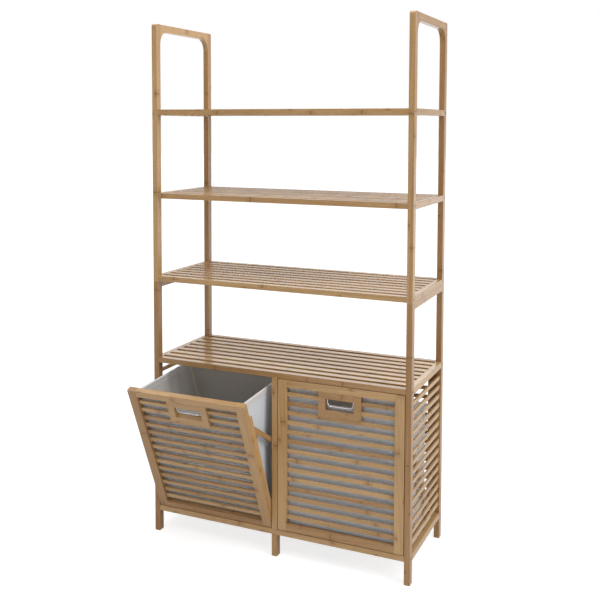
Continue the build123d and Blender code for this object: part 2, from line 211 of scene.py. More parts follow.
@dataclass(frozen=True)
class BambooFinish:
    """Carbonised bamboo strips under a clear lacquer; X of the group's vector runs along the fibres."""

    pale: Colour = (0.56, 0.350, 0.150)
    deep: Colour = (0.345, 0.174, 0.054)
    knot: Colour = (0.20, 0.080, 0.020)
    strip_width: float = 19 * MM
    knot_spacing: float = 0.30
    knot_half_width: float = 4.2 * MM
    knot_wobble: float = 0.012
    knot_scatter: float = 7.3
    knot_dark: float = 0.6
    strip_tone: float = 0.22
    streak_tone: float = 0.42
    cloud_tone: float = 0.30
    fibre_shade: float = 0.38
    fibres: Span = (9.0, 1500.0)
    streaks: Span = (2.2, 170.0)
    clouds: Span = (3.0, 11.0)
    waver: Span = (30.0, 160.0)
    grain_start: Point = (0.31, 0.007, 0.0045)
    roughness: float = 0.36
    coat: float = 0.7
    coat_roughness: float = 0.14
    tone_step: float = 0.08

    def group(self) -> bpy.types.NodeTree:
        """Build the grain as a node group, once.

        Returns:
            The group, with Color, Roughness and Height.
        """
        name = "bamboo grain"
        if name in bpy.data.node_groups:
            return bpy.data.node_groups[name]
        sketch, ends = new_group(
            name, {"Vector": ("NodeSocketVector", None), "Tone": ("NodeSocketFloat", 0.0)},
            {"Color": "NodeSocketColor", "Roughness": "NodeSocketFloat", "Height": "NodeSocketFloat"})
        grain = ends["in"].outputs["Vector"]
        parts = sketch.add("ShaderNodeSeparateXYZ", {0: grain})
        cell = sketch.add("ShaderNodeCombineXYZ", {
            0: sketch.math("FLOOR", sketch.math("DIVIDE", parts.outputs[1], self.strip_width)),
            1: sketch.math("FLOOR", sketch.math("DIVIDE", parts.outputs[2], self.strip_width))})
        chance = sketch.add("ShaderNodeTexWhiteNoise", {"Vector": cell.outputs[0]}, noise_dimensions="3D")
        fibres = sketch.noise(sketch.stretched(grain, *self.fibres), 1.0, 3.0, 0.65)
        streaks = sketch.noise(sketch.stretched(grain, *self.streaks), 1.0, 3.0, 0.6)
        clouds = sketch.noise(sketch.stretched(grain, *self.clouds), 1.0, 2.0, 0.5)
        tone = sketch.plus(sketch.times(chance.outputs[0], self.strip_tone),
                           sketch.times(sketch.ramp(streaks, 0.3, 0.7), self.streak_tone))
        tone = sketch.plus(tone, sketch.times(sketch.ramp(clouds, 0.3, 0.7), self.cloud_tone))
        tone = sketch.plus(tone, ends["in"].outputs["Tone"], clamp=True)
        wood = sketch.mix(tone, self.pale, self.deep)
        wood = sketch.mix(sketch.ramp(fibres, 0.45, 0.72, 0.0, self.fibre_shade), wood, self.deep, "MULTIPLY")
        wobble = sketch.noise(sketch.stretched(grain, *self.waver), 1.0)
        turn = sketch.plus(sketch.math("DIVIDE", parts.outputs[0], self.knot_spacing),
                           sketch.times(wobble, self.knot_wobble))
        scatter = sketch.times(chance.outputs[0], self.knot_scatter)
        turn = sketch.math("FRACT", sketch.plus(turn, scatter))
        away = sketch.times(sketch.math("ABSOLUTE", sketch.math("SUBTRACT", turn, 0.5)), self.knot_spacing)
        ring = sketch.ramp(away, self.knot_half_width * 0.2, self.knot_half_width, 1.0, 0.0, smooth=True)
        halo = sketch.ramp(away, self.knot_half_width, self.knot_half_width * 5.0, 0.5, 0.0, smooth=True)
        wood = sketch.mix(halo, wood, self.deep)
        wood = sketch.mix(sketch.times(ring, self.knot_dark), wood, self.knot)
        rough = sketch.times(sketch.ramp(fibres, 0.3, 0.8), 0.12)
        height = sketch.math("SUBTRACT", sketch.times(fibres, 0.35), sketch.times(ring, 0.5))
        sketch.fill(ends["out"], {"Color": wood, "Height": height,
                                  "Roughness": sketch.plus(self.roughness, rough)})
        return sketch.tree

    def material(self, along: Vector, tone: float) -> bpy.types.Material:
        """Make the material of sticks whose fibres run one way.

        Args:
            along: Direction of the fibres.
            tone: How much deeper than usual the stick is, below 0 for paler.

        Returns:
            The material; the same one for the same direction and tone.
        """
        level = round(tone / self.tone_step)
        name = "bamboo_{:+.2f}_{:+.2f}_{:+.2f}_{:+d}".format(*along, level)
        if name in bpy.data.materials:
            return bpy.data.materials[name]
        material, sketch, shader = new_material(name)
        turn = along.rotation_difference(Vector((1.0, 0.0, 0.0))).to_euler()
        place = sketch.add("ShaderNodeTexCoord")
        mapping = sketch.add("ShaderNodeMapping", {"Vector": place.outputs["Object"], "Rotation": tuple(turn),
                                                   "Location": self.grain_start})
        grain = sketch.add("ShaderNodeGroup", node_tree=self.group())
        sketch.fill(grain, {"Vector": mapping.outputs[0], "Tone": level * self.tone_step})
        bump = sketch.add("ShaderNodeBump", {"Height": grain.outputs["Height"], "Strength": 0.25,
                                             "Distance": 0.1 * MM})
        sketch.fill(shader, {"Base Color": grain.outputs["Color"], "Roughness": grain.outputs["Roughness"],
                             "Normal": bump.outputs[0], "Coat Weight": self.coat,
                             "Coat Roughness": self.coat_roughness})
        return material


@dataclass(frozen=True)
class FabricFinish:
    """A plain woven cloth; the weave follows the UV map, which is in metres."""

    name: str
    thread: Colour
    shade: Colour
    pitch: float = 1.1 * MM
    slub: float = 0.5
    roughness: float = 0.88
    sheen: float = 0.25
    sheen_roughness: float = 0.6

    @staticmethod
    def group() -> bpy.types.NodeTree:
        """Build the weave as a node group, once.

        Returns:
            The group, with Mask and Height.
        """
        name = "plain weave"
        if name in bpy.data.node_groups:
            return bpy.data.node_groups[name]
        sketch, ends = new_group(
            name, {"Vector": ("NodeSocketVector", None), "Pitch": ("NodeSocketFloat", MM),
                   "Slub": ("NodeSocketFloat", 0.5)},
            {"Mask": "NodeSocketFloat", "Height": "NodeSocketFloat"})
        cloth, pitch, slub = (ends["in"].outputs[key] for key in ("Vector", "Pitch", "Slub"))
        parts = sketch.add("ShaderNodeSeparateXYZ", {0: cloth})
        waves = []
        for axis in (0, 1):
            turns = sketch.math("DIVIDE", parts.outputs[axis], pitch)
            waves.append(sketch.math("SINE", sketch.times(turns, math.tau)))
        cross = sketch.times(*waves)
        height = sketch.ramp(cross, -1.0, 1.0)
        runs = []
        for scale in ((700.0, 22.0, 0.0), (22.0, 700.0, 0.0)):
            run = sketch.add("ShaderNodeVectorMath", {0: cloth, 1: scale}, operation="MULTIPLY")
            runs.append(sketch.noise(run.outputs[0], 1.0))
        thick = sketch.plus(*runs)
        slubs = sketch.times(sketch.ramp(thick, 0.75, 1.3), slub)
        mask = sketch.plus(sketch.times(height, 0.4), slubs, clamp=True)
        sketch.fill(ends["out"], {"Mask": mask, "Height": sketch.plus(height, slubs)})
        return sketch.tree

    def material(self) -> bpy.types.Material:
        """Make the cloth's material, once.

        Returns:
            The material.
        """
        if self.name in bpy.data.materials:
            return bpy.data.materials[self.name]
        material, sketch, shader = new_material(self.name)
        place = sketch.add("ShaderNodeTexCoord")
        weave = sketch.add("ShaderNodeGroup", node_tree=self.group())
        sketch.fill(weave, {"Pitch": self.pitch, "Slub": self.slub, "Vector": place.outputs["UV"]})
        cloud = sketch.noise(place.outputs["UV"], 9.0, 3.0)
        # The weave's low points take the shade colour: painted shade between the threads. The cloud patches darken
        # towards it as the cloth's own uneven tone.
        base = sketch.mix(weave.outputs["Mask"], self.shade, self.thread)
        base = sketch.mix(sketch.ramp(cloud, 0.35, 0.75, 0.0, 0.25), base, self.shade)
        worn = sketch.times(weave.outputs["Mask"], 0.08)
        bump = sketch.add("ShaderNodeBump", {"Height": weave.outputs["Height"], "Strength": 0.5,
                                             "Distance": 0.5 * MM})
        sketch.fill(shader, {"Base Color": base, "Roughness": sketch.math("SUBTRACT", self.roughness, worn),
                             "Normal": bump.outputs[0], "Sheen Weight": self.sheen,
                             "Sheen Roughness": self.sheen_roughness})
        return material


@dataclass(frozen=True)
class MetalFinish:
    """A metal with fine marks that only change its gloss."""

    name: str
    colour: Colour
    roughness: float
    marks: float = 0.1
    scale: float = 420.0

    def material(self) -> bpy.types.Material:
        """Make the metal's material, once.

        Returns:
            The material.
        """
        if self.name in bpy.data.materials:
            return bpy.data.materials[self.name]
        material, sketch, shader = new_material(self.name)
        place = sketch.add("ShaderNodeTexCoord")
        wear = sketch.noise(place.outputs["Object"], self.scale, 3.0)
        dull = tuple(value * 0.8 for value in self.colour)
        colour = sketch.mix(sketch.ramp(wear, 0.4, 0.75), self.colour, dull)
        rough = sketch.ramp(wear, 0.3, 0.8, self.roughness, self.roughness + self.marks)
        bump = sketch.add("ShaderNodeBump", {"Height": wear, "Strength": 0.08, "Distance": 0.1 * MM})
        sketch.fill(shader, {"Base Color": colour, "Roughness": rough, "Metallic": 1.0,
                             "Normal": bump.outputs[0]})
        return material


BAMBOO = BambooFinish()
CLOTH_OUTSIDE = FabricFinish("cloth_outside", (0.77, 0.83, 0.895), (0.63, 0.68, 0.74))
# The inside face of the same cloth as the outside, painted darker and warmer: painted shade and warm bounce light
# inside the bag.
CLOTH_INSIDE_SHADED = FabricFinish("cloth_lining", (0.68, 0.66, 0.63), (0.54, 0.52, 0.49))
CLOTH_HEM = FabricFinish("cloth_hem", (0.80, 0.80, 0.80), (0.66, 0.66, 0.67), pitch=0.8 * MM, slub=0.3)
CLOTH_BINDING = FabricFinish("cloth_binding", (0.84, 0.77, 0.60), (0.68, 0.61, 0.45), pitch=0.8 * MM,
                             slub=0.3)
THREAD = FabricFinish("sewing_thread", (0.86, 0.86, 0.85), (0.72, 0.72, 0.72), pitch=0.4 * MM, slub=0.2)
CHROME = MetalFinish("chrome", (0.86, 0.87, 0.89), 0.07, 0.08)
DRAWN_STEEL = MetalFinish("drawn_steel", (0.56, 0.56, 0.57), 0.32, 0.15)
DARK_STEEL = MetalFinish("dark_steel", (0.10, 0.085, 0.07), 0.42, 0.2)


# Carried-over wood and metal

class CadDresser:
    """Gives every carried-over CAD node its finish, with the fibres of each stick along its length."""

    METALS = {Slot.CHROME: CHROME, Slot.ROD: DRAWN_STEEL, Slot.FASTENER: DARK_STEEL}
    # Part tones by name, below 0 paler. The paler rear posts and the deeper front posts are painted light and
    # painted shade, standing in for how the light falls on them. The side slats are paler partly as their own
    # lighter boards and partly as painted light from the right. The grip frame is its own deeper wood. The base
    # rails and the slats of the top and shelves are paler.
    TONES_AND_PAINTED_LIGHT = {"side_slats": -0.42, "grip_frame": 0.22, "front_lower_post": 0.18, "front_upper_post": 0.10,
             "rear_lower_post": -0.10, "rear_upper_post": -0.16, "post": 0.04, "door_slats": -0.04,
             "cabinet_top_slats": -0.30, "slats": -0.10, "base_rails": -0.34, "side_rail": -0.12}
    SPREAD = 0.34

    def dress(self) -> None:
        """Dress all the CAD nodes that stay in view."""
        slots = {row["node"]: Slot(row["material_slot"]) for row in frame["record"]["subparts"]}
        for name, node in frame["nodes"].items():
            slot = slots[name]
            if slot is Slot.BAMBOO:
                self.grain(node)
            elif slot in self.METALS:
                self.coat(node, self.METALS[slot])
        LOG.info("dressed %d carried-over nodes", len(frame["nodes"]))

    @staticmethod
    def coat(node: Piece, finish: MetalFinish) -> None:
        """Give a whole node one metal finish."""
        node.data.materials.clear()
        node.data.materials.append(finish.material())

    def grain(self, node: Piece) -> None:
        """Give each stick of a bamboo node the material whose fibres run along it.

        Args:
            node: The bamboo node.
        """
        mesh = node.data
        mesh.materials.clear()
        names: list[str] = []
        # The part's tone, with the painted light and painted shade of the table above.
        part_tone_and_light = next((tone for word, tone in self.TONES_AND_PAINTED_LIGHT.items() if word in node.name), 0.0)
        for faces, along in self.sticks(mesh):
            own = self.SPREAD * (self.chance(mesh, faces) - 0.5) * 2
            material = BAMBOO.material(along, part_tone_and_light + own)
            if material.name not in names:
                names.append(material.name)
                mesh.materials.append(material)
            for index in faces:
                mesh.polygons[index].material_index = names.index(material.name)

    @staticmethod
    def sticks(mesh: Mesh) -> list[tuple[list[int], Vector]]:
        """Split a mesh into its loose sticks.

        Args:
            mesh: The node's mesh.

        Returns:
            Each stick's faces, and the direction of its longest side.
        """
        joined: dict[tuple, int] = {}
        owner = list(range(len(mesh.vertices)))

        def root(index: int) -> int:
            """Return the vertex that stands for all those joined to a vertex."""
            while owner[index] != index:
                owner[index] = owner[owner[index]]
                index = owner[index]
            return index

        for vertex in mesh.vertices:
            key = tuple(round(value / (0.01 * MM)) for value in vertex.co)
            owner[root(vertex.index)] = root(joined.setdefault(key, vertex.index))
        for polygon in mesh.polygons:
            first = polygon.vertices[0]
            for other in polygon.vertices[1:]:
                owner[root(other)] = root(first)
        groups: dict[int, list[int]] = {}
        for polygon in mesh.polygons:
            groups.setdefault(root(polygon.vertices[0]), []).append(polygon.index)
        return [(faces, CadDresser.longest_edge(mesh, faces)) for faces in groups.values()]

    @staticmethod
    def chance(mesh: Mesh, faces: list[int]) -> float:
        """Draw a number that depends only on where a stick is.

        Args:
            mesh: The node's mesh.
            faces: The stick's faces.

        Returns:
            A number from 0 to 1.
        """
        low = [min(mesh.polygons[i].center[axis] for i in faces) for axis in range(3)]
        phase = sum(round(value / MM) * step for value, step in zip(low, (12.9898, 78.233, 37.719)))
        return (math.sin(phase) * 43758.5453) % 1.0

    @staticmethod
    def longest_edge(mesh: Mesh, faces: list[int]) -> Vector:
        """Find the longest straight edge of some faces.

        Args:
            mesh: The node's mesh.
            faces: The stick's faces.

        Returns:
            The edge's direction, pointing up, back or right.
        """
        edges = []
        for index in faces:
            corners = [mesh.vertices[i].co for i in mesh.polygons[index].vertices]
            edges += [end - start for start, end in zip(corners, corners[1:] + corners[:1])]
        best = max(edges, key=lambda edge: edge.length).normalized()
        main = max(range(3), key=lambda axis: abs(best[axis]))
        return -best if best[main] < 0 else best


# Bags

@dataclass
class BinPlace:
    """Where a bin stands: its hinge, and how far it is tilted at rest."""

    side: str
    hinge: Vector
    tilt: float

    @property
    def body(self) -> str:
        """Name of the moving body."""
        return f"{self.side}_bin"

    def matrix(self) -> Matrix:
        """Find how the shut bin, centred on x = 0, moves to its place at rest.

        Returns:
            The move.
        """
        pivot = Vector((0.0, self.hinge.y, self.hinge.z))
        turn = Matrix.Translation(pivot) @ Matrix.Rotation(self.tilt, 4, "X") @ Matrix.Translation(-pivot)
        return Matrix.Translation((self.hinge.x, 0.0, 0.0)) @ turn


def bin_places() -> list[BinPlace]:
    """Read both bins' places from the joints.

    Returns:
        The open left bin and the shut right bin.
    """
    return [BinPlace(side=joint["child"].split("_")[0], hinge=Vector(joint["pos_m"]),
                     tilt=-math.radians(joint["range_deg"][0])) for joint in frame["joints"]]


def link(name: str, mesh: Mesh, materials: list[bpy.types.Material]) -> Piece:
    """Put a mesh in the scene.

    Args:
        name: The object's name.
        mesh: Its mesh, already in place.
        materials: Its materials, in slot order.

    Returns:
        The object.
    """
    piece = bpy.data.objects.new(name, mesh)
    bpy.context.scene.collection.objects.link(piece)
    for material in materials:
        mesh.materials.append(material)
    return piece


def apply_modifiers(piece: Piece) -> None:
    """Replace a piece's mesh by the one that its modifiers make.

    Args:
        piece: The piece.
    """
    bpy.context.view_layer.update()
    evaluated = piece.evaluated_get(bpy.context.evaluated_depsgraph_get())
    mesh = bpy.data.meshes.new_from_object(evaluated)
    old = piece.data
    piece.modifiers.clear()
    piece.data = mesh
    bpy.data.meshes.remove(old)


def spaced(low: float, high: float, count: int) -> list[float]:
    """Return evenly spaced numbers from the lower one up to, but without, the higher one."""
    return [low + (high - low) * i / count for i in range(count)]


@dataclass
class Bag:
    """One sewn bag on its hoop, built shut and centred on x = 0, then turned with its bin."""

    place: BinPlace
    cloth: float = 1.2 * MM
    rim_slope: float = math.tan(math.radians(19.8))
    hoop_radius: float = 2.5 * MM
    hoop_inset: float = 1.0 * MM
    soft_gap: float = 0.3 * MM
    sleeve: float = 3.9 * MM
    fold_radius: float = 1.7 * MM
    hem_drop: float = 19 * MM
    flat_reach: float = 8 * MM
    flat_blend: float = 14 * MM
    rear_corner: float = 15 * MM
    front_corner: float = 7 * MM
    slot_half: float = 45 * MM
    slot_low: float = 46.24 * MM
    slot_high: float = 20.24 * MM
    floor_sag: float = 3.0 * MM
    floor_taut: float = 40 * MM
    floor_slat: float = 14 * MM
    first_slat: float = 26.5 * MM
    foot_bulge: float = 5.5 * MM
    foot_height: float = 0.22
    belly: float = 3.2 * MM
    belly_change: float = 3.0 * MM
    fold: float = 1.9 * MM
    crease: float = 0.7 * MM
    taut_reach: float = 60 * MM
    seam_width: float = 2.6 * MM
    seam_proud: float = 1.3 * MM
    seam_clear: float = 12 * MM
    seam_rows: int = 40
    binding_width: float = 6.0 * MM
    binding_wander: float = 0.4 * MM
    foot_width: float = 3.0 * MM
    foot_proud: float = 1.2 * MM
    edge_width: float = 5.0 * MM
    edge_proud: float = 2.6 * MM
    edge_round: float = 3 * MM
    stitch_pitch: float = 5.0 * MM
    stitch_long: float = 3.4 * MM
    stitch_thick: float = 0.35 * MM
    stitch_drop: float = 15.5 * MM
    stitch_faces: Span = (1.65 * MM, -0.85 * MM)
    slot_steps: int = 11
    front_steps: int = 29
    side_steps: int = 60
    back_steps: int = 70
    corner_steps: int = 8
    wall_rows: int = 38
    slot_rows: int = 4
    floor_rings: int = 24
    pieces: list[Piece] = field(default_factory=list)

    def __post_init__(self) -> None:
        """Take the bag's size and its floor slats from the shut bin's CAD nodes."""
        low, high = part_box("right_bag")
        self.under_hoop = (self.hoop_radius + self.soft_gap) * math.hypot(1.0, self.rim_slope)
        self.half = (high.x - low.x) / 2
        self.front, self.back, self.floor, self.top = low.y, high.y, low.z, high.z
        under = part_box("right_bin_floor")
        self.slats = under[0].y + self.first_slat, under[1].y
        whole = self.top - self.floor
        below, above = 1 - self.slot_low / whole, 1 - self.slot_high / whole
        self.slot_shares = (below, above)
        self.shares = spaced(0.0, below, self.wall_rows) + spaced(below, above, self.slot_rows)
        self.shares += [*spaced(above, 1.0, self.slot_rows), 1.0]

    def rim(self, y: float) -> float:
        """Return the height at a depth where the single cloth ends, just under the hoop."""
        return self.top - (y - self.front) * self.rim_slope

    def outline(self, inset: float = 0.0) -> list[tuple[float, float, Vector, float]]:
        """Walk round the bag from the middle of its front, to the right first.

        Args:
            inset: How far inside the cloth's outer face.

        Returns:
            Points as x, y, the outward direction and the distance walked.
        """
        rear, fore = self.rear_corner - inset, self.front_corner - inset
        half, front, back = self.half - inset, self.front + inset, self.back - inset
        path: list[tuple[float, float, Vector]] = []

        def straight(start: tuple[float, float], end: tuple[float, float], steps: int, out: Vector) -> None:
            """Walk straight on, without the end itself."""
            spots = zip(spaced(start[0], end[0], steps), spaced(start[1], end[1], steps))
            path.extend((x, y, out) for x, y in spots)

        def corner(x: float, y: float, radius: float, angle: float) -> None:
            """Walk a quarter turn to the left, from an angle in degrees, without its end."""
            for turn in spaced(angle, angle + 90.0, self.corner_steps):
                bend = math.radians(turn)
                out = Vector((math.cos(bend), math.sin(bend), 0.0))
                path.append((x + radius * out.x, y + radius * out.y, out))

        ahead, right, behind = Vector((0.0, -1.0, 0.0)), Vector((1.0, 0.0, 0.0)), Vector((0.0, 1.0, 0.0))
        straight((0.0, front), (self.slot_half, front), self.slot_steps, ahead)
        straight((self.slot_half, front), (half - fore, front), self.front_steps, ahead)
        corner(half - fore, front + fore, fore, -90.0)
        straight((half, front + fore), (half, back - rear), self.side_steps, right)
        corner(half - rear, back - rear, rear, 0.0)
        straight((half - rear, back), (rear - half, back), self.back_steps, behind)
        corner(rear - half, back - rear, rear, 90.0)
        straight((-half, back - rear), (-half, front + fore), self.side_steps, -right)
        corner(fore - half, front + fore, fore, 180.0)
        straight((fore - half, front), (-self.slot_half, front), self.front_steps, ahead)
        straight((-self.slot_half, front), (0.0, front), self.slot_steps, ahead)
        walked = 0.0
        points = []
        for i, (x, y, out) in enumerate(path):
            if i:
                walked += math.dist(path[i - 1][:2], (x, y))
            points.append((x, y, out, walked))
        return points

    def slack(self, x: float, y: float, share: float) -> float:
        """Find how far the cloth hangs inwards at a point of a wall.

        Args:
            x: Across the bag.
            y: From front to back.
            share: Height as a share of the wall.

        Returns:
            The slack.
        """
        belly = math.sin(math.pi * min(share, 1.0)) ** 0.8 if 0 < share < 1 else 0.0
        to_corner = abs(abs(x) - self.half) + min(abs(y - self.back), abs(y - self.front))
        taut = min(1.0, to_corner / self.taut_reach)
        folds = noise.noise(Vector((x * 16.0 + 3.1, y * 16.0, share * 1.7)))
        broad = noise.noise(Vector((x * 6.0, y * 6.0 + 8.3, share * 2.2 + 4.0)))
        fine = noise.noise(Vector((x * 40.0, y * 40.0 + 5.7, share * 9.0)))
        deep = (self.belly + self.belly_change * broad) * taut
        return belly * (deep + self.fold * folds + self.crease * fine)

    def wall(self, x: float, y: float, out: Vector, share: float) -> Vector:
        """Place a point of the wall's outer face, with its slack and its bulge at the foot.

        Args:
            x: Across the bag.
            y: From front to back.
            out: Outward direction there.
            share: Height as a share of the wall.

        Returns:
            The point.
        """
        z = self.floor + share * (self.rim(y) - self.floor)
        along = (y - self.front) / (self.back - self.front)
        bulge = self.foot_bulge * max(0.0, math.sin(math.pi * along)) ** 0.5
        bulge *= math.sin(math.pi * min(share / self.foot_height, 1.0) ** 0.6)
        return Vector((x, y, z)) - out * self.slack(x, y, share) + Vector((out.x * bulge, 0.0, 0.0))

    def shell(self) -> Piece:
        """Build the walls and the floor as one sagging shell of cloth, open at the hand slot.

        Returns:
            The shell, in place.
        """
        work = bmesh.new()
        flat: Flat = {}
        rings = []
        walk = self.outline()
        for share in self.shares:
            ring = []
            for x, y, out, walked in walk:
                vertex = work.verts.new(self.wall(x, y, out, share))
                flat[vertex] = (walked, vertex.co.z)
                ring.append(vertex)
            rings.append(ring)
        count = len(walk)
        for row, (low, high) in enumerate(zip(rings, rings[1:])):
            behind_hole = self.slot_shares[0] - 1e-6 < self.shares[row] < self.slot_shares[1] - 1e-6
            for i in range(count):
                if behind_hole and (i < self.slot_steps or i >= count - self.slot_steps):
                    continue
                work.faces.new((low[i], low[(i + 1) % count], high[(i + 1) % count], high[i]))
        self.close_floor(work, rings[0], flat)
        return self.cloth_piece("cloth", work, flat, [CLOTH_OUTSIDE, CLOTH_INSIDE_SHADED], self.cloth)

    def close_floor(self, work: Work, edge: list, flat: Flat) -> None:
        """Close the floor with rings that sag between the slats under it.

        Args:
            work: The mesh in the making.
            edge: The lowest ring of the walls.
            flat: Each vertex's place on the flat cloth, filled in.
        """
        middle = Vector((0.0, (self.front + self.back) / 2, self.floor))
        rings = [edge]
        for step in range(1, self.floor_rings):
            share = 1 - step / self.floor_rings
            ring = []
            for vertex in edge:
                spot = middle + (vertex.co - middle) * share
                spot.z = self.floor - self.sag(spot)
                made = work.verts.new(spot)
                flat[made] = (spot.x, spot.y)
                ring.append(made)
            rings.append(ring)
        count = len(edge)
        for outer, inner in zip(rings, rings[1:]):
            for i in range(count):
                work.faces.new((outer[i], inner[i], inner[(i + 1) % count], outer[(i + 1) % count]))
        hub = work.verts.new(middle)
        flat[hub] = (middle.x, middle.y)
        for i in range(count):
            work.faces.new((rings[-1][i], hub, rings[-1][(i + 1) % count]))

    def sag(self, spot: Vector) -> float:
        """Find how far the floor hangs below the tops of its slats.

        Args:
            spot: A point of the floor.

        Returns:
            The sag.
        """
        first, last = self.slats[0], self.slats[1] - self.floor_slat
        pitch = (last - first) / 2
        turn = (spot.y - first) / pitch
        along = (spot.y - first) - math.floor(turn) * pitch
        if turn < 0 or turn >= 2 or along < self.floor_slat:
            return 0.0
        edge = min(1.0, (self.half - abs(spot.x)) / self.floor_taut)
        share = (along - self.floor_slat) / (pitch - self.floor_slat)
        return self.floor_sag * math.sin(math.pi * share) ** 2 * edge

    def cloth_piece(self, name: str, work: Work, flat: Flat, finishes: list[FabricFinish],
                    thickness: float) -> Piece:
        """Turn a mesh in the making into a piece of cloth.

        Args:
            name: The piece's name after its bag's.
            work: The mesh, which is freed.
            flat: Each vertex's place on the flat cloth.
            finishes: The outer and, where it differs, the inner finish.
            thickness: The cloth's thickness, put on the inside; 0 for none.

        Returns:
            The piece.
        """
        uv = work.loops.layers.uv.new("cloth")
        for face in work.faces:
            for loop in face.loops:
                loop[uv].uv = flat[loop.vert]
        bmesh.ops.recalc_face_normals(work, faces=work.faces)
        mesh = bpy.data.meshes.new(f"{self.place.side}_bag_{name}")
        work.to_mesh(mesh)
        work.free()
        mesh.polygons.foreach_set("use_smooth", [True] * len(mesh.polygons))
        piece = link(mesh.name, mesh, [finish.material() for finish in finishes])
        if thickness:
            thick = piece.modifiers.new("cloth", "SOLIDIFY")
            thick.thickness = thickness
            thick.offset = -1.0
            thick.material_offset = len(finishes) - 1
            thick.material_offset_rim = 0
            apply_modifiers(piece)
        self.pieces.append(piece)
        return piece

    def hem(self) -> None:
        """Fold the rim over the hoop on three sides, and flat along the front."""
        work = bmesh.new()
        flat: Flat = {}
        rings = []
        for x, y, out, walked in self.outline(self.hoop_inset):
            full = min(1.0, max(0.0, (y - self.front - self.flat_reach) / self.flat_blend))
            axis = self.rim(y) + self.under_hoop
            centre = Vector((x, y, axis))
            tall = self.rim(y) - self.floor
            ring = []
            for step, (across, up) in enumerate(self.hem_profile(full)):
                share = (axis + up - self.floor) / tall
                spot = centre + out * (across - self.slack(x, y, share)) + Vector((0.0, 0.0, up))
                vertex = work.verts.new(spot)
                flat[vertex] = (walked, step * 2.0 * MM)
                ring.append(vertex)
            rings.append(ring)
        self.skin(work, rings, True)
        self.cloth_piece("hem", work, flat, [CLOTH_HEM], 0.0)

    def hem_profile(self, full: float) -> list[tuple[float, float]]:
        """Draw the closed section of the hem as outward and upward steps from the hoop's axis.

        Args:
            full: 1 where it goes round the hoop, 0 where it is folded flat.

        Returns:
            The section's corners in order.
        """
        radius = self.fold_radius + (self.sleeve - self.fold_radius) * full
        thin, middle = 1.25 * MM, 0.4 * MM
        section = []
        for i in range(13):
            bend = math.radians(-40.0 + 260.0 * i / 12)
            section.append((radius * math.cos(bend) + middle * (1 - full), radius * math.sin(bend)))
        end = -self.hem_drop
        for side, ups in ((-1, (-11 * MM, -15 * MM, end + 0.6 * MM, end)),
                          (1, (end, end + 0.6 * MM, -15 * MM, -11 * MM))):
            neck = (side * radius * 0.62 + (middle + side * thin) * 0.35, -radius * 1.5)
            legs = [(middle + side * thin * (0.4 if up == end else 1.0), up) for up in ups]
            section += [neck, *legs] if side < 0 else [*legs, neck]
        return section

    @staticmethod
    def skin(work: Work, rings: list, closed: bool) -> None:
        """Join rings of the same length into a tube.

        Args:
            work: The mesh in the making.
            rings: The rings, each closed on itself.
            closed: Whether the last ring joins the first; if not, both ends are capped.
        """
        count = len(rings[0])
        pairs = list(zip(rings, rings[1:] + rings[:1])) if closed else list(zip(rings, rings[1:]))
        for one, other in pairs:
            for i in range(count):
                work.faces.new((one[i], one[(i + 1) % count], other[(i + 1) % count], other[i]))
        if not closed:
            work.faces.new(rings[0])
            work.faces.new(list(reversed(rings[-1])))

    def cord_like(self, name: str, path: list[tuple[Vector, Vector]], wide: float, proud: float,
                  finish: FabricFinish, closed: bool) -> None:
        """Sew a narrow rounded strip, such as a binding or a piped seam, along a path.

        Args:
            name: The piece's name after its bag's.
            path: Places on the cloth, each with the direction away from the cloth.
            wide: The strip's width.
            proud: How thick it is.
            finish: Its finish.
            closed: Whether the path closes on itself.
        """
        work = bmesh.new()
        flat: Flat = {}
        rings = []
        walked = 0.0
        for i, (spot, out) in enumerate(path):
            before = path[i - 1][0] if i or closed else spot
            after = path[(i + 1) % len(path)][0] if closed or i + 1 < len(path) else spot
            along = (after - before).normalized()
            side = along.cross(out).normalized()
            walked += (spot - path[i - 1][0]).length if i else 0.0
            ring = []
            for step in range(10):
                bend = math.tau * step / 10
                across, up = wide / 2 * math.cos(bend), proud / 2 * math.sin(bend)
                vertex = work.verts.new(spot + side * across + out * up)
                flat[vertex] = (walked, wide * step / 5)
                ring.append(vertex)
            rings.append(ring)
        self.skin(work, rings, closed)
        self.cloth_piece(name, work, flat, [finish], 0.0)

    def seams(self) -> None:
        """Bind the corners inside, pipe them outside, and bind the foot and the hand slot."""
        walk = self.outline()
        first = self.slot_steps + self.front_steps + self.corner_steps // 2
        middles = {"front_right": first, "rear_right": first + self.corner_steps + self.side_steps}
        middles["rear_left"] = len(walk) - middles["rear_right"]
        middles["front_left"] = len(walk) - middles["front_right"]
        below_hem = 1 - self.seam_clear / (self.top - self.floor)
        shares = [i / self.seam_rows * below_hem for i in range(self.seam_rows + 1)]
        for name, index in middles.items():
            x, y, out, _ = walk[index]
            wander = [out * (self.binding_wander * noise.noise(Vector((share * 14.0, index, 0.0))))
                      for share in shares]
            inside = [(self.wall(x, y, out, share) - out * (self.cloth + 0.5 * MM) + shift, -out)
                      for share, shift in zip(shares, wander)]
            self.cord_like(f"binding_{name}", inside[1:], self.binding_width, self.seam_proud,
                           CLOTH_BINDING, False)
            outside = [(self.wall(x, y, out, share) + out * 0.1 * MM, out) for share in shares]
            self.cord_like(f"seam_{name}", outside, self.seam_width, self.seam_proud, CLOTH_HEM, False)
        foot = [(self.wall(x, y, out, 0.006), out) for x, y, out, _ in walk]
        self.cord_like("foot_seam", foot, self.foot_width, self.foot_proud, CLOTH_HEM, True)
        self.cord_like("slot_binding", self.slot_edge(), self.edge_width, self.edge_proud, CLOTH_HEM, True)

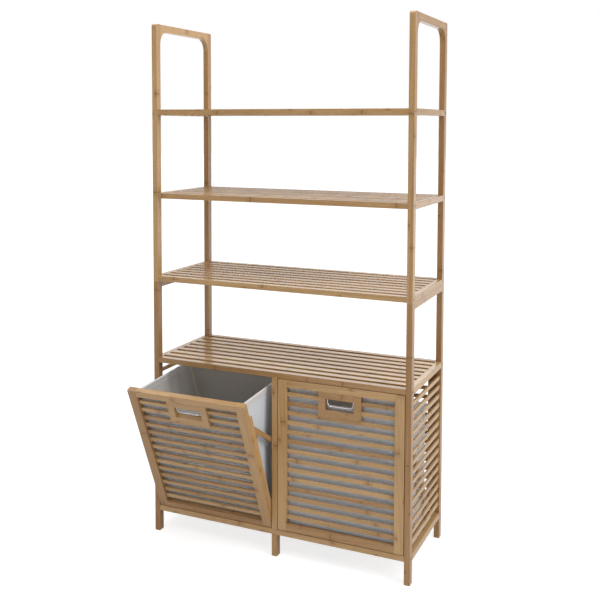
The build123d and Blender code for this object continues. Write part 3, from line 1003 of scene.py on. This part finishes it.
    def slot_edge(self) -> list[tuple[Vector, Vector]]:
        """Walk round the hand slot's edge.

        Returns:
            Places on the cloth, each with the direction away from it.
        """
        low, high = self.slot_shares
        ahead = Vector((0.0, -1.0, 0.0))
        tall = (high - low) * (self.top - self.floor)
        radius = self.edge_round
        side, top = self.slot_half - radius, tall - radius
        path = []
        for i, (x, z) in enumerate([(side, radius), (side, top), (-side, top), (-side, radius)]):
            for j in range(5):
                bend = math.radians(-90.0 + 90.0 * i + 22.5 * j)
                path.append((x + radius * math.cos(bend), z + radius * math.sin(bend)))
        points = []
        for i, (x, z) in enumerate(path):
            nx, nz = path[(i + 1) % len(path)]
            steps = max(1, round(math.dist((x, z), (nx, nz)) / (4 * MM)))
            for px, pz in zip(spaced(x, nx, steps), spaced(z, nz, steps)):
                share = low + pz / (self.top - self.floor)
                points.append((self.wall(px, self.front, ahead, share) - ahead * self.cloth / 2, ahead))
        return points

    def stitches(self) -> None:
        """Sew a run of stitches along the hem, inside and outside."""
        work = bmesh.new()
        flat: Flat = {}
        walk = self.outline(self.hoop_inset)
        index = 0
        for number in range(int(walk[-1][3] / self.stitch_pitch)):
            at = number * self.stitch_pitch
            while index + 1 < len(walk) - 1 and walk[index + 1][3] < at:
                index += 1
            one, other = walk[index], walk[index + 1]
            part = (at - one[3]) / max(other[3] - one[3], 1e-9)
            x, y = one[0] + (other[0] - one[0]) * part, one[1] + (other[1] - one[1]) * part
            out = one[2].lerp(other[2], part).normalized()
            along = Vector((-out.y, out.x, 0.0))
            up = self.under_hoop - self.stitch_drop
            tall = self.rim(y) - self.floor
            base = Vector((x, y, self.rim(y) + up)) - out * self.slack(x, y, (tall + up) / tall)
            slope = Vector((0.0, 0.0, -along.y * self.rim_slope))
            for face in self.stitch_faces:
                self.stitch(work, flat, base + out * face, along + slope, out)
        self.cloth_piece("stitches", work, flat, [THREAD], 0.0)

    def stitch(self, work: Work, flat: Flat, spot: Vector, along: Vector, out: Vector) -> None:
        """Add one stitch: a short thread, thin at both ends.

        Args:
            work: The mesh in the making.
            flat: Each vertex's place on the flat cloth, filled in.
            spot: The stitch's middle.
            along: The way it runs.
            out: The direction away from the cloth.
        """
        along = along.normalized()
        side = along.cross(out).normalized()
        rings = []
        for step, swell in ((-0.5, 0.35), (-0.25, 1.0), (0.25, 1.0), (0.5, 0.35)):
            ring = []
            for turn in range(4):
                bend = math.tau * turn / 4
                thread = (side * math.cos(bend) * 1.5 + out * math.sin(bend)) * self.stitch_thick * swell
                vertex = work.verts.new(spot + along * (self.stitch_long * step) + thread)
                flat[vertex] = (self.stitch_long * step, self.stitch_thick * turn)
                ring.append(vertex)
            rings.append(ring)
        self.skin(work, rings, False)

    def build(self) -> None:
        """Build the bag and hang it in its bin."""
        shell = self.shell()
        self.hem()
        self.seams()
        self.stitches()
        for piece in self.pieces:
            piece.data.transform(self.place.matrix())
            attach(piece, self.place.body)
        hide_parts(f"{self.place.side}_bag")
        LOG.info("%s bag: %d pieces", self.place.side, len(self.pieces))


# Studio

@dataclass(frozen=True)
class Lamp:
    """A square soft lamp: where it hangs, the point it faces, its side and its power in watts."""

    name: str
    place: Point
    aim: Point
    size: float
    power: float

    def build(self) -> None:
        """Hang the lamp."""
        data = bpy.data.lights.new(self.name, "AREA")
        data.shape = "SQUARE"
        data.size = self.size
        data.energy = self.power
        lamp = bpy.data.objects.new(self.name, data)
        lamp.location = self.place
        lamp.visible_camera = False
        lamp.rotation_mode = "QUATERNION"
        lamp.rotation_quaternion = (Vector(self.aim) - Vector(self.place)).to_track_quat("-Z", "Y")
        bpy.context.scene.collection.objects.link(lamp)


@dataclass(frozen=True)
class Studio:
    """A white floor and world, soft lamps and the camera."""

    camera_place: Point = (1.0834, -2.3322, 1.2678)
    yaw: float = math.radians(24.012)
    pitch: float = math.radians(3.631)
    roll: float = math.radians(0.157)
    focal_pixels: float = 874.5
    frame_pixels: float = 600.0
    horizon_row: float = 180.0
    sensor: float = 36.0
    floor_size: float = 30.0
    floor_bounce: float = 0.9
    floor_shade: float = 0.45
    floor_glow: float = 0.76
    glow_reach: Span = (1.0, 4.5)
    floor_mirrored: Span = (0.26, 0.95)
    mirror_reach: Span = (0.5, 6.5)
    floor_roughness: float = 0.9
    world_strength: float = 0.39
    left_sky: Span = (0.13, 0.33)
    left_light: Span = (0.34, 1.05)
    right_sky: Span = (0.2, 0.55)
    right_light: Span = (0.45, 1.0)
    middle_sky: Span = (-0.05, 0.15)
    front_sky: Span = (-0.9, -0.1)
    front_light: Span = (0.9, 1.0)
    lamps: tuple[Lamp, ...] = (
        Lamp("top_softbox", (0.0, 0.0, 3.8), (0.0, 0.0, 0.8), size=3.0, power=44.0),
        Lamp("front_softbox", (-0.3, -2.9, 4.2), (0.0, 0.0, 0.6), size=1.8, power=30.0),
        Lamp("back_softbox", (-1.3, 3.0, 2.6), (0.0, 0.0, 0.9), size=2.4, power=16.0),
        Lamp("right_softbox", (4.6, -1.0, 4.4), (0.0, 0.0, 0.6), size=3.4, power=190.0))

    def build(self) -> None:
        """Set up the floor, world, lamps and camera."""
        self.floor()
        self.world()
        for lamp in self.lamps:
            lamp.build()
        self.camera()
        bpy.context.scene.view_settings.view_transform = "Standard"

    def floor(self) -> None:
        """Lay the floor, which shows white to the camera but keeps the shadow."""
        work = bmesh.new()
        bmesh.ops.create_grid(work, x_segments=1, y_segments=1, size=self.floor_size)
        mesh = bpy.data.meshes.new("studio_floor")
        work.to_mesh(mesh)
        work.free()
        material, sketch, shader = new_material("studio_floor")
        rays = sketch.add("ShaderNodeLightPath")
        seen = sketch.math("MAXIMUM", rays.outputs["Is Camera Ray"], rays.outputs["Is Transmission Ray"])
        place = sketch.add("ShaderNodeTexCoord")
        depth = sketch.add("ShaderNodeSeparateXYZ", {0: place.outputs["Object"]}).outputs[1]
        away = sketch.add("ShaderNodeVectorMath", {0: place.outputs["Object"]}, operation="LENGTH")
        glow = sketch.ramp(away.outputs["Value"], *self.glow_reach, self.floor_glow, 1.0)
        mirrored = sketch.ramp(depth, *self.mirror_reach, *self.floor_mirrored)
        seen = sketch.math("MAXIMUM", seen, sketch.times(rays.outputs["Is Glossy Ray"], mirrored))
        shade = sketch.ramp(rays.outputs["Is Diffuse Ray"], 0.0, 1.0, self.floor_shade, self.floor_bounce)
        sketch.fill(shader, {"Base Color": shade, "Roughness": self.floor_roughness,
                             "Specular IOR Level": 0.0, "Emission Color": (1.0, 1.0, 1.0, 1.0),
                             "Emission Strength": sketch.times(seen, glow)})
        link("studio_floor", mesh, [material])

    def world(self) -> None:
        """Make a white world that also shows white to the camera and in metal."""
        world = bpy.data.worlds.new("studio")
        bpy.context.scene.world = world
        world.use_nodes = True
        sketch = NodeSketch(world.node_tree)
        background = world.node_tree.nodes["Background"]
        rays = sketch.add("ShaderNodeLightPath")
        place = sketch.add("ShaderNodeTexCoord")
        parts = sketch.add("ShaderNodeSeparateXYZ", {0: place.outputs["Generated"]})
        left = sketch.ramp(parts.outputs[2], *self.left_sky, *self.left_light)
        right = sketch.ramp(parts.outputs[0], *self.right_sky, *self.right_light)
        sides = sketch.times(sketch.math("SUBTRACT", right, left),
                            sketch.ramp(parts.outputs[0], *self.middle_sky))
        mirrored = sketch.times(sketch.plus(left, sides),
                               sketch.ramp(parts.outputs[1], *self.front_sky, *self.front_light))
        strength = sketch.ramp(rays.outputs["Is Glossy Ray"], 0.0, 1.0, self.world_strength, mirrored)
        strength = sketch.math("MAXIMUM", strength, rays.outputs["Is Camera Ray"])
        strength = sketch.math("MAXIMUM", strength, rays.outputs["Is Transmission Ray"])
        sketch.fill(background, {"Strength": strength, "Color": (1.0, 1.0, 1.0, 1.0)})

    def camera(self) -> None:
        """Stand the camera where the object is seen from its front right."""
        data = bpy.data.cameras.new("camera")
        data.sensor_width = self.sensor
        data.lens = self.focal_pixels / self.frame_pixels * self.sensor
        data.shift_y = -(self.frame_pixels / 2 - self.horizon_row) / self.frame_pixels
        camera = bpy.data.objects.new("camera", data)
        camera.location = self.camera_place
        aim = Matrix.Rotation(self.yaw, 4, "Z") @ Matrix.Rotation(math.pi / 2 - self.pitch, 4, "X")
        aim = aim @ Matrix.Rotation(self.roll, 4, "Z")
        camera.matrix_world = Matrix.Translation(self.camera_place) @ aim
        bpy.context.scene.collection.objects.link(camera)
        bpy.context.scene.camera = camera


def write_sizes() -> None:
    """Update the scene's view layer."""
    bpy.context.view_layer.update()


def main() -> None:
    """Dress the frame, make the bags and set up the studio."""
    logging.basicConfig(level=logging.INFO, format="%(message)s")
    CadDresser().dress()
    for place in bin_places():
        Bag(place).build()
    Studio().build()
    write_sizes()


if __name__ == "__main__":
    main()
